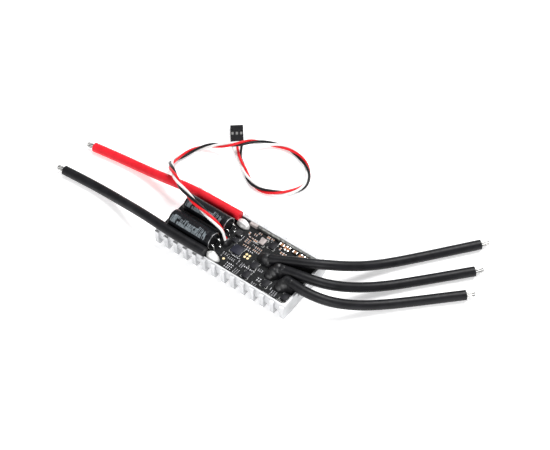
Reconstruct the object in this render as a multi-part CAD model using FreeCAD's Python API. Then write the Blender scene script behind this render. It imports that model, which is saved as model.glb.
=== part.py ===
"""Electronic speed controller for brushless motors, as separate solids in one frame.

The origin is at the middle of the heatsink's underside. +X runs along the controller towards
the motor wires, +Y across it towards the positive wire, and +Z up. Lengths are in millimetres.
"""
import FreeCAD, Part
import math
import os

Vec = FreeCAD.Vector
UP = Vec(0, 0, 1)

# ---- heatsink ----
FIN_COUNT = 14
FIN_PITCH = 6.4
FIN_THICK = 2.5
FIN_WIDTH = 38.4
FIN_TOP = 10.2
FIN_CORNER = 1.5
SINK_LENGTH = (FIN_COUNT - 1) * FIN_PITCH + FIN_THICK
RIM_TOP = 10.6
RIM_THICK = 0.9
END_RIM_THICK = 1.2
POCKET_WIDTH = 33.8
POCKET_CORNER = 2.2
BASE_BOTTOM = 4.3
BASE_TOP = 6.3
NOTCH_WIDTH = 12.9
NOTCH_CENTRE = 0.55

# ---- stack on the tray floor ----
PAD_THICK = 0.5
FET_HEIGHT = 1.0
BOARD_THICK = 1.6
BOARD_BOTTOM = BASE_TOP + PAD_THICK + FET_HEIGHT
BOARD_TOP = BOARD_BOTTOM + BOARD_THICK
BOARD_GAP = 0.15
BOARD_LEFT = -SINK_LENGTH / 2 + 0.1
BOARD_RIGHT = SINK_LENGTH / 2 - END_RIM_THICK - BOARD_GAP
PAD_INSET = 1.0

# ---- power transistors, under the board ----
FET_LENGTH = 6.0
FET_WIDTH = 5.0
FET_COLUMN_PITCH = 7.0
FET_ROW_PITCH = 7.6
FET_ROWS = 4
FET_COLUMNS_PER_PHASE = 2
FET_FIRST_X = 2.4
PHASES = ("a", "b", "c")

# ---- storage capacitors ----
CAP_DIAMETER = 10.0
CAP_LENGTH = 28.0
CAP_LEFT = -38.5
CAP_Y = (-8.3, 4.5)
CAP_AXIS_Z = BOARD_TOP + CAP_DIAMETER / 2
SLEEVE_THICK = 0.15
SLEEVE_LIP = 0.9
BUNG_THICK = 2.4
BUNG_RECESS = 0.7
CAN_EDGE = 0.7
LEAD_DIAMETER = 0.6
LEAD_PITCH = 5.0
LEAD_REACH = 1.9

# ---- positive bar along the board's far edge ----
BAR_LEFT = 0.6
BAR_LENGTH = 39.6
BAR_Y = 15.6
BAR_WIDTH = 1.5
BAR_HEIGHT = 1.8
TAB_LENGTH = 5.0
TAB_WIDTH = 1.9
TAB_HEIGHT = 1.9
TAB_GAP = 0.1

# ---- power wires ----
WIRE_DIAMETER = 5.5
TIP_DIAMETER = 3.3
TIP_LENGTH = 5.0
TIP_NOSE = 0.6

# ---- solder and sealant, as half length, half width and height of each lump ----
BATTERY_LUMP = (4.4, 2.3, 4.6)
BATTERY_LUMP_AHEAD = 3.5
BATTERY_LUMP_INSET = 1.9
MOTOR_LUMP = (1.8, 1.6, 2.4)
MOTOR_PADS = ((13.5, 1.2), (24.0, -7.2), (32.6, -10.2))
SEALANT_LUMP = (4.8, 3.6, 5.2)
SIGNAL_LUMP = (1.1, 0.7, 0.9)
SIGNAL_SEALANT = (2.3, 2.5, 4.4)
SIGNAL_SEALANT_AHEAD = 0.6

# ---- signal lead and plug ----
LEAD_BUNDLE = 3.4
SIGNAL_PADS_X = -7.4
SIGNAL_PADS_Y = -1.9
SIGNAL_PAD_PITCH = 1.7
PLUG_PITCH = 2.54
PLUG_WAYS = 3
PLUG_THICK = 2.54
PLUG_LENGTH = 14.0
PLUG_EDGE = 0.25
CAVITY_WIDTH = 1.6
CAVITY_HEIGHT = 1.74
CAVITY_FLOOR = 0.4
LATCH_LENGTH = 3.0
LATCH_WIDTH = 1.3
LATCH_X = 8.0
SOCKET_LENGTH = 7.6
SOCKET_WIDTH = 1.4
SOCKET_HEIGHT = 1.5
SOCKET_BORE = 0.75
SOCKET_X = 9.0
CRIMP_DIAMETER = 1.3
CRIMP_X = 1.8

# ---- routes of the cords, as corner points that arcs round off ----
BATTERY_NEGATIVE_ROUTE = (
    (-10.3, -16.2, 13.6), (-24.0, -16.8, 13.7), (-41.0, -16.4, 13.8), (-55.0, -14.9, 11.9),
    (-71.0, -12.3, 7.0), (-86.0, -10.5, 3.5), (-101.0, -10.8, 2.8), (-115.8, -12.0, 2.9),
)
BATTERY_POSITIVE_ROUTE = (
    (-10.5, 14.5, 12.8), (-26.0, 14.1, 12.9), (-42.0, 13.7, 12.9), (-56.0, 13.5, 10.4),
    (-70.0, 14.3, 6.2), (-84.0, 14.7, 3.2), (-99.0, 13.3, 2.8), (-113.9, 11.2, 2.9),
)
MOTOR_A_ROUTE = (
    (19.5, 0.8, 12.7), (28.5, 5.2, 13.5), (37.5, 9.4, 14.2), (46.0, 14.9, 13.7),
    (53.4, 22.0, 10.7), (60.2, 30.8, 6.8), (67.4, 40.8, 4.0), (76.4, 52.6, 2.9),
    (88.0, 67.0, 2.8), (100.3, 82.0, 3.0),
)
MOTOR_B_ROUTE = (
    (26.8, -1.4, 12.9), (36.0, 0.0, 14.1), (45.0, 1.8, 14.3), (53.4, 5.6, 12.6),
    (60.8, 11.9, 9.4), (68.2, 20.4, 5.8), (76.6, 30.2, 3.6), (86.4, 41.8, 2.8),
    (96.6, 53.2, 2.8), (107.0, 64.7, 3.0),
)
MOTOR_C_ROUTE = (
    (35.2, -5.2, 13.3), (43.4, -6.0, 13.7), (51.8, -5.0, 13.1), (59.8, -1.8, 11.2),
    (67.0, 3.8, 8.2), (74.0, 11.0, 5.2), (82.0, 19.6, 3.3), (91.2, 29.0, 2.8),
    (101.2, 39.0, 2.8), (111.2, 48.8, 3.0),
)
SIGNAL_ROUTE = (
    (-6.8, -1.9, 11.6), (-9.0, -1.9, 16.0), (-13.6, -1.6, 19.8), (-20.4, -0.6, 21.8),
    (-28.8, 0.9, 22.6), (-37.4, 3.4, 22.6), (-46.2, 6.9, 21.6), (-54.0, 12.1, 19.4),
    (-61.2, 17.6, 15.4), (-67.2, 23.6, 9.4), (-70.1, 30.9, 3.8), (-69.2, 39.5, 1.8),
    (-65.7, 47.4, 1.8), (-59.1, 52.4, 4.0), (-50.4, 54.4, 7.8), (-44.3, 60.0, 9.0),
    (-40.2, 67.2, 6.4), (-34.6, 73.5, 2.4), (-26.9, 77.5, 1.8), (-18.1, 77.2, 1.8),
    (-9.3, 73.6, 1.8), (-2.4, 67.3, 1.8), (-0.1, 58.7, 1.8), (-4.3, 50.9, 1.8),
    (-12.3, 44.8, 1.8), (-21.3, 42.7, 1.8), (-30.1, 45.8, 1.8), (-37.0, 51.1, 1.8),
    (-45.2, 56.6, 1.8), (-50.3, 62.8, 1.8),
)
CORNER_SHARE = 0.45

# ---- parts on the board: sizes as length, width and height, places as middle points ----
CHIP_EDGE = 0.05
CONTROLLER_SIZE = (6.0, 5.4, 0.85)
CONTROLLER_PLACE = (0.6, -2.7)
DRIVER_SIZE = (3.6, 4.6, 0.85)
DRIVER_PLACES = ((14.1, -5.5), (14.1, -12.6), (14.2, 10.6), (25.7, -11.2), (38.9, -12.3))
REGULATOR_SIZE = (3.0, 3.0, 0.9)
REGULATOR_PLACE = (-4.1, 1.9)
MODULE_SIZE = (3.7, 4.7, 1.1)
MODULE_PLACE = (8.3, 9.5)
INDUCTOR_SIZE = (3.4, 3.4, 1.8)
INDUCTOR_PLACE = (-5.1, 6.5)
LARGE_CHIP = (1.55, 3.1, 1.2)
MEDIUM_CHIP = (0.85, 1.6, 0.6)
SMALL_CHIP = (0.55, 1.0, 0.5)
TEST_PAD_DIAMETER = 1.4
TEST_PAD_THICK = 0.1
TEST_PAD_PITCH = 1.9
TEST_PAD_SQUARE = (7.3, -2.9)
TEST_PAD_ALONE = (-1.8, -11.4)


# ---------------------------------------------------------------- helpers

def box(centre_x, centre_y, low_z, length, width, height):
    corner = Vec(centre_x - length / 2, centre_y - width / 2, low_z)
    return Part.makeBox(length, width, height, corner)


def rounded_slab(low_x, high_x, width, low_z, high_z, radius):
    """A plate whose four upright edges are rounded, centred on the X axis."""
    slab = Part.makeBox(high_x - low_x, width, high_z - low_z, Vec(low_x, -width / 2, low_z))
    return slab.makeFillet(radius, upright_edges(slab))


def upright_edges(shape):
    return [edge for edge in shape.Edges if abs(edge.tangentAt(edge.FirstParameter).z) > 0.99]


def group(solids):
    return Part.makeCompound(solids)


def chip(centre_x, centre_y, size, turned=False):
    """A flat package standing on the board."""
    length, width, height = size
    if turned:
        length, width = width, length
    body = box(centre_x, centre_y, BOARD_TOP, length, width, height)
    return body.makeChamfer(CHIP_EDGE, body.Faces[5].Edges)


def chip_block(first_x, first_y, columns, rows, step_x, step_y, size, turned=False):
    """Equal small parts in columns and rows."""
    return [
        chip(first_x + column * step_x, first_y + row * step_y, size, turned)
        for column in range(columns)
        for row in range(rows)
    ]


def dome(centre, half_length, half_width, height):
    """The upper half of an ellipsoid lying on the board."""
    ball = Part.makeSphere(1.0)
    half = ball.common(Part.makeBox(4, 4, 2, Vec(-2, -2, 0)))
    scale = FreeCAD.Matrix()
    scale.scale(half_length, half_width, height)
    body = half.transformGeometry(scale)
    body.translate(centre)
    return body


def rounded_path(points):
    """Straight runs joined by tangent arcs, with the path's length and its bend radii."""
    corners = [Vec(*point) for point in points]
    edges = []
    radii = []
    start = corners[0]
    for before, corner, after in zip(corners, corners[1:], corners[2:]):
        back = before - corner
        ahead = after - corner
        turn = math.pi - back.getAngle(ahead)
        reach = CORNER_SHARE * min(back.Length, ahead.Length)
        radius = reach / math.tan(turn / 2)
        back.normalize()
        ahead.normalize()
        inward = back + ahead
        inward.normalize()
        arc_start = corner + back * reach
        arc_end = corner + ahead * reach
        arc_middle = corner + inward * (radius / math.cos(turn / 2) - radius)
        edges.append(Part.LineSegment(start, arc_start).toShape())
        edges.append(Part.Arc(arc_start, arc_middle, arc_end).toShape())
        radii.append(radius)
        start = arc_end
    edges.append(Part.LineSegment(start, corners[-1]).toShape())
    return Part.Wire(edges), radii


def cord(name, points, diameter):
    """A cord's plain tube; its length, tightest bend and volume check are printed."""
    path, radii = rounded_path(points)
    start = Vec(*points[0])
    direction = Vec(*points[1]) - start
    section = Part.Wire(Part.makeCircle(diameter / 2, start, direction))
    tube = path.makePipeShell([section], True, False)
    expected = math.pi * diameter ** 2 / 4 * path.Length
    print(f"{name}: length {path.Length:.1f}, radii in diameters",
          " ".join(f"{radius / diameter:.1f}" for radius in radii),
          f"volume ratio {tube.Volume / expected:.4f}")
    return tube


def along(route):
    """The route's last point and the direction in which it ends."""
    end = Vec(*route[-1])
    direction = end - Vec(*route[-2])
    direction.normalize()
    return end, direction


# ---------------------------------------------------------------- heatsink and board

def fin(low_x):
    """One cross fin: a plate with rounded lower corners."""
    half = FIN_WIDTH / 2
    bend = FIN_CORNER * (1 - math.sqrt(0.5))
    outline = Part.Wire([
        Part.LineSegment(Vec(0, -half, FIN_TOP), Vec(0, -half, FIN_CORNER)).toShape(),
        Part.Arc(Vec(0, -half, FIN_CORNER), Vec(0, bend - half, bend),
                 Vec(0, FIN_CORNER - half, 0)).toShape(),
        Part.LineSegment(Vec(0, FIN_CORNER - half, 0), Vec(0, half - FIN_CORNER, 0)).toShape(),
        Part.Arc(Vec(0, half - FIN_CORNER, 0), Vec(0, half - bend, bend),
                 Vec(0, half, FIN_CORNER)).toShape(),
        Part.LineSegment(Vec(0, half, FIN_CORNER), Vec(0, half, FIN_TOP)).toShape(),
        Part.LineSegment(Vec(0, half, FIN_TOP), Vec(0, -half, FIN_TOP)).toShape(),
    ])
    plate = Part.Face(outline).extrude(Vec(FIN_THICK, 0, 0))
    plate.translate(Vec(low_x, 0, 0))
    return plate


def heatsink():
    left = -SINK_LENGTH / 2
    right = SINK_LENGTH / 2
    outer_width = POCKET_WIDTH + 2 * RIM_THICK
    body = Part.makeBox(SINK_LENGTH, outer_width, RIM_TOP - BASE_BOTTOM,
                        Vec(left, -outer_width / 2, BASE_BOTTOM))
    body = body.fuse([fin(left + index * FIN_PITCH) for index in range(FIN_COUNT)])
    pocket = rounded_slab(left - 2 * POCKET_CORNER, right - END_RIM_THICK, POCKET_WIDTH,
                          BASE_TOP, RIM_TOP + 1, POCKET_CORNER)
    notch_depth = RIM_TOP + 1 - BASE_TOP
    notch_width = NOTCH_WIDTH + END_RIM_THICK
    notch = box(right, NOTCH_CENTRE, BASE_TOP, 4 * END_RIM_THICK, notch_width, notch_depth)
    body = body.cut([pocket, notch])
    body = body.fuse([rim_end(right, side) for side in (-1, 1)])
    return body.removeSplitter()


def rim_end(right, side):
    """The rounded end of the rim at one side of the wire notch."""
    place = Vec(right - END_RIM_THICK / 2,
                NOTCH_CENTRE + side * (NOTCH_WIDTH + END_RIM_THICK) / 2, BASE_BOTTOM)
    return Part.makeCylinder(END_RIM_THICK / 2, RIM_TOP - BASE_BOTTOM, place)


def board_outline(low_z, high_z, inset):
    return rounded_slab(BOARD_LEFT + inset, BOARD_RIGHT - inset,
                        POCKET_WIDTH - 2 * (BOARD_GAP + inset), low_z, high_z,
                        POCKET_CORNER - BOARD_GAP)


def circuit_board():
    return board_outline(BOARD_BOTTOM, BOARD_TOP, 0)


def thermal_pad():
    return board_outline(BASE_TOP, BASE_TOP + PAD_THICK, PAD_INSET)


def phase_transistors(phase):
    """The transistors of one phase, hanging under the board on the thermal pad."""
    first_column = phase * FET_COLUMNS_PER_PHASE
    return group([
        box(FET_FIRST_X + (first_column + column) * FET_COLUMN_PITCH,
            (row - (FET_ROWS - 1) / 2) * FET_ROW_PITCH,
            BOARD_BOTTOM - FET_HEIGHT, FET_WIDTH, FET_LENGTH, FET_HEIGHT)
        for column in range(FET_COLUMNS_PER_PHASE)
        for row in range(FET_ROWS)
    ])


def bus_bar():
    """The positive bar along the far edge of the board."""
    bar = box(BAR_LEFT + BAR_LENGTH / 2, BAR_Y, BOARD_TOP, BAR_LENGTH, BAR_WIDTH, BAR_HEIGHT)
    return bar.makeFillet(0.3, bar.Faces[5].Edges)


def bus_bar_tab():
    """The tinned tab that joins the bar to the positive wire's joint."""
    centre_x = BAR_LEFT - TAB_GAP - TAB_LENGTH / 2
    tab = box(centre_x, BAR_Y, BOARD_TOP, TAB_LENGTH, TAB_WIDTH, TAB_HEIGHT)
    return tab.makeFillet(0.35, tab.Faces[5].Edges)


# ---------------------------------------------------------------- capacitors

def cap_disc(axis_y, low_x, length, diameter):
    return Part.makeCylinder(diameter / 2, length, Vec(low_x, axis_y, CAP_AXIS_Z), Vec(1, 0, 0))


def capacitor_can(axis_y):
    """The aluminium can, closed on the left and open behind the bung on the right."""
    diameter = CAP_DIAMETER - 2 * SLEEVE_THICK
    low_x = CAP_LEFT + SLEEVE_THICK
    can = cap_disc(axis_y, low_x, CAP_LENGTH - 2 * SLEEVE_THICK, diameter)
    closed_rim = [edge for edge in can.Edges if edge.Closed and edge.CenterOfMass.x < low_x + 0.1]
    can = can.makeFillet(CAN_EDGE, closed_rim)
    mouth_x = CAP_LEFT + CAP_LENGTH - BUNG_THICK - BUNG_RECESS
    mouth = cap_disc(axis_y, mouth_x, BUNG_THICK + 2 * BUNG_RECESS, diameter - 0.8)
    return can.cut(mouth)


def capacitor_sleeve(axis_y):
    """The shrunk sleeve, with a narrow lip turned over each end of the can."""
    diameter = CAP_DIAMETER
    outer = cap_disc(axis_y, CAP_LEFT, CAP_LENGTH, diameter)
    ends = [edge for edge in outer.Edges if edge.Closed]
    left_end = [edge for edge in ends if edge.CenterOfMass.x < CAP_LEFT + 0.1]
    outer = outer.makeFillet(CAN_EDGE + SLEEVE_THICK, left_end)
    window = cap_disc(axis_y, CAP_LEFT - 1, CAP_LENGTH + 2, diameter - 2 * SLEEVE_LIP)
    mouth_x = CAP_LEFT + CAP_LENGTH - BUNG_THICK - BUNG_RECESS
    mouth = cap_disc(axis_y, mouth_x, BUNG_THICK + BUNG_RECESS - SLEEVE_THICK,
                     diameter - 2 * SLEEVE_THICK - 0.8)
    return outer.cut([window, capacitor_can(axis_y), mouth])


def capacitor_bung(axis_y):
    """The rubber bung in the can's mouth, with holes for the two leads."""
    low_x = CAP_LEFT + CAP_LENGTH - BUNG_THICK - BUNG_RECESS
    bung = cap_disc(axis_y, low_x, BUNG_THICK, CAP_DIAMETER - 2 * SLEEVE_THICK - 0.8)
    holes = [
        Part.makeCylinder(LEAD_DIAMETER / 2, BUNG_THICK, Vec(low_x, lead_y, CAP_AXIS_Z),
                          Vec(1, 0, 0))
        for lead_y in lead_places(axis_y)
    ]
    return bung.cut(holes)


def lead_places(axis_y):
    return (axis_y - LEAD_PITCH / 2, axis_y + LEAD_PITCH / 2)


def capacitor_lead(lead_y):
    """A tinned wire out of the bung, bent down onto the board."""
    start = Vec(CAP_LEFT + CAP_LENGTH - BUNG_THICK - BUNG_RECESS, lead_y, CAP_AXIS_Z)
    pad_x = CAP_LEFT + CAP_LENGTH + LEAD_REACH
    bend = 1.2
    arc = bend * (1 - math.sqrt(0.5))
    path = Part.Wire([
        Part.LineSegment(start, Vec(pad_x - bend, lead_y, CAP_AXIS_Z)).toShape(),
        Part.Arc(Vec(pad_x - bend, lead_y, CAP_AXIS_Z),
                 Vec(pad_x - arc, lead_y, CAP_AXIS_Z - arc),
                 Vec(pad_x, lead_y, CAP_AXIS_Z - bend)).toShape(),
        Part.LineSegment(Vec(pad_x, lead_y, CAP_AXIS_Z - bend),
                         Vec(pad_x, lead_y, BOARD_TOP)).toShape(),
    ])
    section = Part.Wire(Part.makeCircle(LEAD_DIAMETER / 2, start, Vec(1, 0, 0)))
    return path.makePipeShell([section], True, False)


def capacitor_leads(axis_y):
    return group([capacitor_lead(lead_y) for lead_y in lead_places(axis_y)])


def capacitor_joints():
    """Small solder cones round the leads where they meet the board."""
    pad_x = CAP_LEFT + CAP_LENGTH + LEAD_REACH
    cones = []
    for axis_y in CAP_Y:
        for lead_y in lead_places(axis_y):
            cone = Part.makeCone(0.95, LEAD_DIAMETER / 2 + 0.05, 1.5, Vec(pad_x, lead_y, BOARD_TOP))
            cones.append(cone.cut(capacitor_lead(lead_y)))
    return group(cones)


def capacitor_adhesive():
    """A bead of adhesive in the valley between the two capacitors."""
    middle = (CAP_Y[0] + CAP_Y[1]) / 2
    width = CAP_Y[1] - CAP_Y[0] - CAP_DIAMETER - 0.3
    bead = box(CAP_LEFT + CAP_LENGTH / 2, middle, BOARD_TOP, CAP_LENGTH - 4, width, 5.4)
    top_edges = [edge for edge in bead.Faces[5].Edges if edge.BoundBox.XLength > 1]
    return bead.makeFillet(0.8, top_edges)


# ---------------------------------------------------------------- electronics

def microcontroller():
    return chip(*CONTROLLER_PLACE, CONTROLLER_SIZE)


def gate_drivers():
    return group([chip(*place, DRIVER_SIZE) for place in DRIVER_PLACES])


def voltage_regulator():
    return chip(*REGULATOR_PLACE, REGULATOR_SIZE)


def shielded_module():
    return chip(*MODULE_PLACE, MODULE_SIZE)


def power_inductor():
    return chip(*INDUCTOR_PLACE, INDUCTOR_SIZE)


def large_ceramic_capacitors():
    """Supply capacitors of the three phases, beside the bus bar."""
    return group(
        chip_block(20.6, 13.2, 2, 1, 1.9, 0, LARGE_CHIP)
        + chip_block(30.0, 13.2, 2, 1, 1.9, 0, LARGE_CHIP)
        + chip_block(17.8, 13.9, 1, 1, 0, 0, LARGE_CHIP, turned=True)
        + chip_block(26.3, 13.9, 2, 1, 8.2, 0, LARGE_CHIP, turned=True)
    )


def small_ceramic_capacitors():
    """Decoupling capacitors, most of them round the microcontroller and the module."""
    return group(
        chip_block(7.5, 2.3, 4, 2, 1.2, 2.2, SMALL_CHIP)
        + chip_block(8.7, 13.6, 2, 1, 1.15, 0, MEDIUM_CHIP)
        + chip_block(4.2, 7.6, 2, 1, 1.25, 0, MEDIUM_CHIP)
        + chip_block(-0.8, 10.0, 1, 1, 0, 0, MEDIUM_CHIP)
        + chip_block(20.4, 9.3, 3, 1, 1.4, 0, MEDIUM_CHIP)
        + chip_block(18.6, 11.2, 1, 1, 0, 0, MEDIUM_CHIP)
        + chip_block(0.7, 4.2, 2, 3, 1.8, 1.05, SMALL_CHIP, turned=True)
        + chip_block(1.2, 2.0, 4, 1, 1.35, 0, SMALL_CHIP)
        + chip_block(0.6, 8.2, 2, 1, 1.9, 0, SMALL_CHIP, turned=True)
        + chip_block(1.9, 11.2, 2, 1, 1.2, 0, SMALL_CHIP)
        + chip_block(3.4, 13.2, 2, 1, 1.3, 0.6, SMALL_CHIP)
        + chip_block(11.3, 13.9, 2, 1, 1.1, 0, SMALL_CHIP)
    )


def chip_resistors():
    """Resistors round the microcontroller and between the drivers."""
    return group(
        chip_block(5.0, 0.3, 2, 1, 2.6, 0, MEDIUM_CHIP, turned=True)
        + chip_block(2.1, -15.2, 2, 3, 2.4, 1.4, MEDIUM_CHIP, turned=True)
        + chip_block(11.0, -9.2, 3, 1, 2.4, 0, MEDIUM_CHIP, turned=True)
        + chip_block(20.7, -11.5, 2, 1, 1.4, 0, MEDIUM_CHIP)
        + chip_block(-4.2, -8.2, 3, 1, 1.35, 0, SMALL_CHIP)
        + chip_block(-4.2, -10.0, 1, 1, 0, 0, SMALL_CHIP)
        + chip_block(0.2, -6.8, 4, 1, 1.5, 0, SMALL_CHIP, turned=True)
        + chip_block(-0.1, -9.2, 4, 1, 1.15, 0, SMALL_CHIP)
        + chip_block(5.8, -9.6, 1, 2, 0, 1.9, SMALL_CHIP)
        + chip_block(8.0, -10.0, 2, 2, 1.2, 1.6, SMALL_CHIP)
        + chip_block(7.2, -15.2, 3, 2, 1.2, 2.0, SMALL_CHIP)
        + chip_block(17.5, -6.2, 3, 1, 1.1, 0, SMALL_CHIP)
        + chip_block(19.6, -15.1, 3, 1, 1.2, 0, SMALL_CHIP)
        + chip_block(31.4, -14.9, 3, 2, 1.25, 1.7, SMALL_CHIP)
        + chip_block(29.8, -12.2, 1, 1, 0, 0, SMALL_CHIP)
        + chip_block(5.6, 4.9, 1, 1, 0, 0, SMALL_CHIP, turned=True)
        + chip_block(-1.9, 4.6, 1, 2, 0, 1.6, SMALL_CHIP)
    )


def test_pads():
    """Bare gold pads: four in a square, and one alone."""
    middle_x, middle_y = TEST_PAD_SQUARE
    reach = TEST_PAD_PITCH / 2
    places = [(middle_x + x, middle_y + y) for x in (-reach, reach) for y in (-reach, reach)]
    places.append(TEST_PAD_ALONE)
    return group([
        Part.makeCylinder(TEST_PAD_DIAMETER / 2, TEST_PAD_THICK, Vec(pad_x, pad_y, BOARD_TOP))
        for pad_x, pad_y in places
    ])


# ---------------------------------------------------------------- joints and wires

def battery_joint(route):
    """A lump of solder at the stripped end of a battery wire, inside the rim."""
    start = Vec(*route[0])
    inward = BATTERY_LUMP_INSET if start.y < 0 else -BATTERY_LUMP_INSET
    lump = dome(Vec(start.x + BATTERY_LUMP_AHEAD, start.y + inward, BOARD_TOP), *BATTERY_LUMP)
    wire = Part.makeCylinder(WIRE_DIAMETER / 2, BATTERY_LUMP_AHEAD, start,
                             Vec(*route[1]) - start)
    return lump.cut([wire, bus_bar_tab()])


def motor_solder_joint(pad):
    """The hidden solder under the sealant, on the motor wire's pad."""
    pad_x, pad_y = pad
    return dome(Vec(pad_x, pad_y, BOARD_TOP), *MOTOR_LUMP)


def motor_solder_joints():
    return group([motor_solder_joint(pad) for pad in MOTOR_PADS])


def sealant_lump(pad, route):
    """A lump over a pad and the wire's start, longer along the line between them."""
    pad_x, pad_y = pad
    start_x, start_y, _ = route[0]
    lump = dome(Vec(0, 0, BOARD_TOP), *SEALANT_LUMP)
    lump.rotate(Vec(0, 0, 0), UP, math.degrees(math.atan2(start_y - pad_y, start_x - pad_x)))
    lump.translate(Vec((pad_x + start_x) / 2, (pad_y + start_y) / 2, 0))
    return lump


def motor_sealants():
    """A glossy lump over each motor joint, flowing round the wires and the lumps before it."""
    wires = []
    for route in MOTOR_ROUTES:
        start = Vec(*route[0])
        wires.append(Part.makeCylinder(WIRE_DIAMETER / 2, 2 * SEALANT_LUMP[0], start,
                                       Vec(*route[1]) - start))
    solder = [motor_solder_joint(pad) for pad in MOTOR_PADS]
    lumps = []
    for pad, route in zip(MOTOR_PADS, MOTOR_ROUTES):
        lumps.append(sealant_lump(pad, route).cut(wires + solder + lumps))
    return lumps


def wire_tip(route):
    """The tinned end of a power wire, tapered at its nose."""
    end, direction = along(route)
    tip = Part.makeCylinder(TIP_DIAMETER / 2, TIP_LENGTH, end, direction)
    nose = [edge for edge in tip.Edges
            if edge.Closed and (edge.CenterOfMass - end).Length > TIP_LENGTH / 2]
    return tip.makeChamfer(TIP_NOSE, nose)


def signal_joints():
    """Three small solder joints where the signal wires meet the board."""
    return group([
        dome(Vec(SIGNAL_PADS_X, SIGNAL_PADS_Y + way * SIGNAL_PAD_PITCH, BOARD_TOP), *SIGNAL_LUMP)
        for way in (-1, 0, 1)
    ])


def signal_sealant(joints, lead):
    """The dab of sealant that holds the signal wires up where they leave the board."""
    place = Vec(SIGNAL_PADS_X + SIGNAL_SEALANT_AHEAD, SIGNAL_PADS_Y, BOARD_TOP)
    return dome(place, *SIGNAL_SEALANT).cut([joints, lead])


# ---------------------------------------------------------------- plug

def plug_frame(shape):
    """From the plug's own frame, +X towards its mouth, to the lead's end on the surface."""
    end, direction = along(SIGNAL_ROUTE)
    shape.rotate(Vec(0, 0, 0), UP, math.degrees(math.atan2(direction.y, direction.x)))
    shape.translate(Vec(end.x, end.y, 0))
    return shape


def plug_way(way):
    return (way - (PLUG_WAYS - 1) / 2) * PLUG_PITCH


def plug_housing():
    """A three-way crimp housing: a cavity for each terminal, and a latch window over it."""
    body = box(PLUG_LENGTH / 2, 0, 0, PLUG_LENGTH, PLUG_WAYS * PLUG_PITCH, PLUG_THICK)
    body = body.makeFillet(PLUG_EDGE, [edge for edge in body.Edges if edge.BoundBox.XLength > 1])
    cavity_x = CRIMP_X / 2 + PLUG_LENGTH / 2
    latch_floor = CAVITY_FLOOR + CAVITY_HEIGHT / 2
    cuts = []
    for way in range(PLUG_WAYS):
        cuts.append(box(cavity_x, plug_way(way), CAVITY_FLOOR,
                        PLUG_LENGTH, CAVITY_WIDTH, CAVITY_HEIGHT))
        cuts.append(box(LATCH_X, plug_way(way), latch_floor, LATCH_LENGTH, LATCH_WIDTH, PLUG_THICK))
    return plug_frame(body.cut(cuts))


def plug_terminal(way):
    """A folded sheet terminal: a square socket with a crimp barrel behind it."""
    side = plug_way(way)
    low_z = CAVITY_FLOOR + (CAVITY_HEIGHT - SOCKET_HEIGHT) / 2
    bore_z = low_z + (SOCKET_HEIGHT - SOCKET_BORE) / 2
    socket = box(SOCKET_X, side, low_z, SOCKET_LENGTH, SOCKET_WIDTH, SOCKET_HEIGHT)
    bore = box(SOCKET_X + SOCKET_LENGTH / 4, side, bore_z, SOCKET_LENGTH, SOCKET_BORE, SOCKET_BORE)
    barrel = Part.makeCylinder(CRIMP_DIAMETER / 2, SOCKET_X - SOCKET_LENGTH / 2 - CRIMP_X,
                               Vec(CRIMP_X, side, low_z + SOCKET_HEIGHT / 2), Vec(1, 0, 0))
    return socket.cut(bore).fuse(barrel).removeSplitter()


def plug_terminals():
    return plug_frame(group([plug_terminal(way) for way in range(PLUG_WAYS)]))


# ---------------------------------------------------------------- the assembly

MOTOR_ROUTES = (MOTOR_A_ROUTE, MOTOR_B_ROUTE, MOTOR_C_ROUTE)


def build_parts():
    parts = {
        "heatsink": heatsink(),
        "circuit_board": circuit_board(),
        "thermal_pad": thermal_pad(),
        "bus_bar": bus_bar(),
        "bus_bar_tab": bus_bar_tab(),
        "capacitor_adhesive": capacitor_adhesive(),
        "capacitor_joints": capacitor_joints(),
        "microcontroller": microcontroller(),
        "gate_drivers": gate_drivers(),
        "voltage_regulator": voltage_regulator(),
        "shielded_module": shielded_module(),
        "power_inductor": power_inductor(),
        "large_ceramic_capacitors": large_ceramic_capacitors(),
        "small_ceramic_capacitors": small_ceramic_capacitors(),
        "chip_resistors": chip_resistors(),
        "test_pads": test_pads(),
        "motor_solder_joints": motor_solder_joints(),
        "signal_joints": signal_joints(),
        "signal_lead": cord("signal_lead", SIGNAL_ROUTE, LEAD_BUNDLE),
        "signal_plug_housing": plug_housing(),
        "signal_plug_terminals": plug_terminals(),
    }
    parts["signal_sealant"] = signal_sealant(parts["signal_joints"], parts["signal_lead"])
    for phase, letter in enumerate(PHASES):
        parts[f"phase_{letter}_transistors"] = phase_transistors(phase)
    for number, axis_y in enumerate(CAP_Y, start=1):
        parts[f"capacitor_{number}_can"] = capacitor_can(axis_y)
        parts[f"capacitor_{number}_sleeve"] = capacitor_sleeve(axis_y)
        parts[f"capacitor_{number}_bung"] = capacitor_bung(axis_y)
        parts[f"capacitor_{number}_leads"] = capacitor_leads(axis_y)
    for pole, route in (("negative", BATTERY_NEGATIVE_ROUTE), ("positive", BATTERY_POSITIVE_ROUTE)):
        parts[f"battery_{pole}_wire"] = cord(f"battery_{pole}_wire", route, WIRE_DIAMETER)
        parts[f"battery_{pole}_tip"] = wire_tip(route)
        parts[f"battery_{pole}_joint"] = battery_joint(route)
    for letter, route, sealant in zip(PHASES, MOTOR_ROUTES, motor_sealants()):
        parts[f"motor_{letter}_wire"] = cord(f"motor_{letter}_wire", route, WIRE_DIAMETER)
        parts[f"motor_{letter}_tip"] = wire_tip(route)
        parts[f"motor_{letter}_sealant"] = sealant
    return parts


def main():
    os.makedirs("parts", exist_ok=True)
    for name, shape in build_parts().items():
        shape.exportStep(f"parts/{name}.step")


main()
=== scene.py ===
"""The looks of an electronic speed controller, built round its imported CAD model.

Lengths are in metres, in the model's own frame: +X towards the motor wires, +Y towards the
positive wire, +Z up. Pieces made here sit at the origin, so object coordinates are frame ones.
"""
import math

import bmesh
import bpy
from mathutils import Matrix, Vector, noise


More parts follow.
